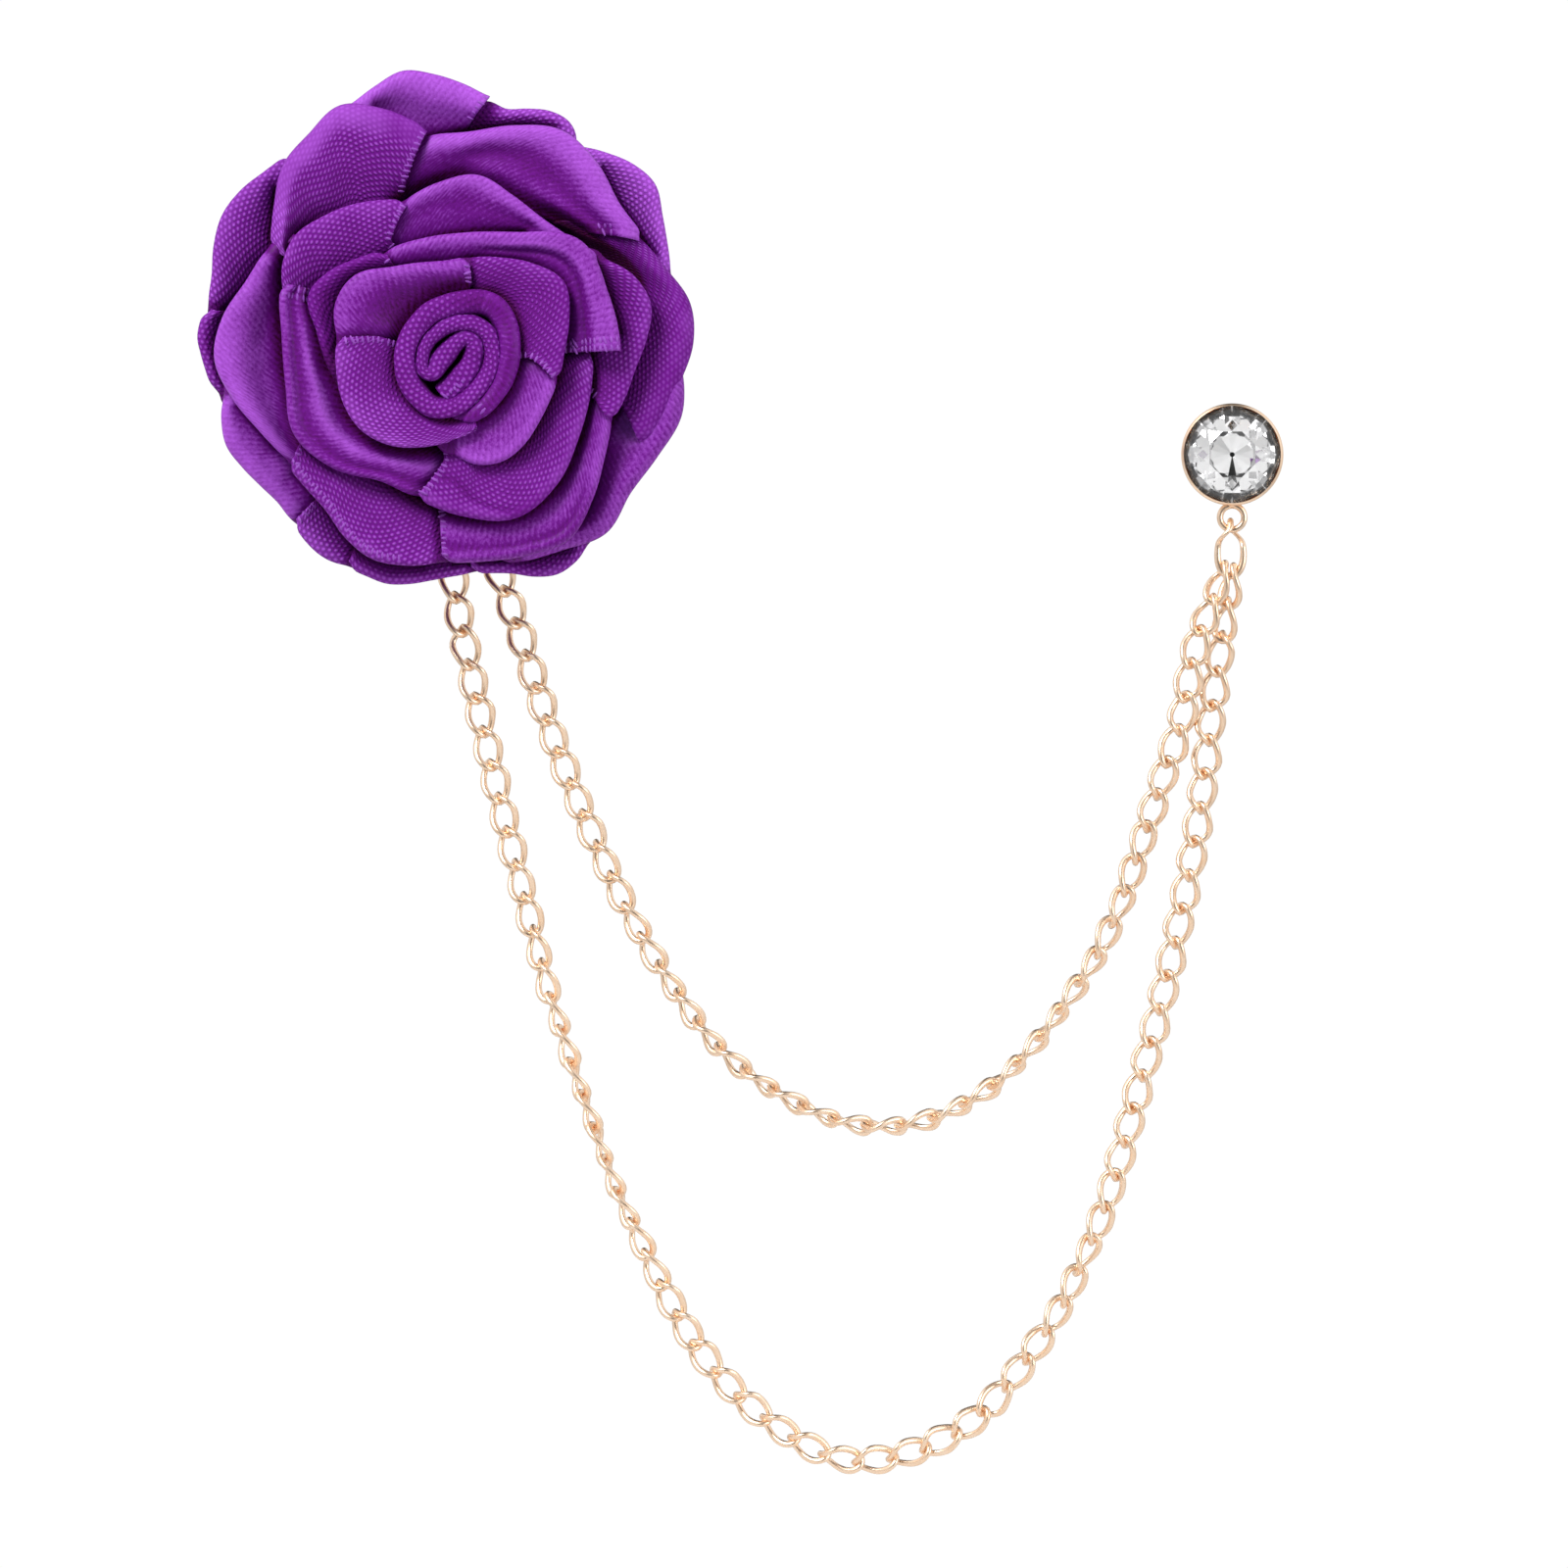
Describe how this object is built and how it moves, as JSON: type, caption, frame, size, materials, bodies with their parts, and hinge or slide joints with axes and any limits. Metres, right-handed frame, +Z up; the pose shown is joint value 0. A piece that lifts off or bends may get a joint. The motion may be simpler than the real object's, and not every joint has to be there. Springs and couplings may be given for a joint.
{
  "type": "flower lapel pin with hanging chains and a stud",
  "caption": "Folded ribbon rose on a lapel pin, with curb chains that hang in uneven loops to a small round stone-set stud pinned on beside it.",
  "frame": {"origin": "on the axis of the rose's post, in the plane of the cloth that the rose is pinned to", "axes": "+Z up as worn, -Y out of the cloth towards the viewer, +X to the viewer's right, where the stud is"},
  "size_m": [0.0985, 0.0252, 0.1273],
  "materials": {
    "ribbon_matte": "purple grosgrain ribbon",
    "ribbon_gloss": "purple satin ribbon",
    "ribbon_inside": "the ribbon's gathered and sewn underside",
    "gold": "polished pale gold plate",
    "stone": "clear cut stone"
  },
  "bodies": {
    "root": {"heart": "ribbon_matte", "petal_1a": "ribbon_matte", "petal_1b": "ribbon_gloss", "petal_1c": "ribbon_matte", "petal_1d": "ribbon_gloss", "petal_2a": "ribbon_matte", "petal_2b": "ribbon_gloss", "petal_2c": "ribbon_matte", "petal_2d": "ribbon_gloss", "petal_3a": "ribbon_matte", "petal_3b": "ribbon_gloss", "petal_3c": "ribbon_matte", "petal_3d": "ribbon_gloss", "petal_3e": "ribbon_matte", "petal_4a": "ribbon_gloss", "petal_4b": "ribbon_matte", "petal_4c": "ribbon_gloss", "petal_4d": "ribbon_matte", "petal_4e": "ribbon_gloss", "petal_5a": "ribbon_gloss", "petal_5b": "ribbon_matte", "petal_5c": "ribbon_matte", "petal_5d": "ribbon_matte", "petal_5e": "ribbon_gloss", "petal_5f": "ribbon_matte", "petal_5g": "ribbon_gloss", "petal_5h": "ribbon_matte", "petal_5i": "ribbon_matte", "ribbon_base": "ribbon_inside", "rose_pin": "gold", "chain_inner": "gold", "chain_outer": "gold", "drop_link": "gold", "stud_setting": "gold", "stone": "stone"}
  },
  "joints": []
}
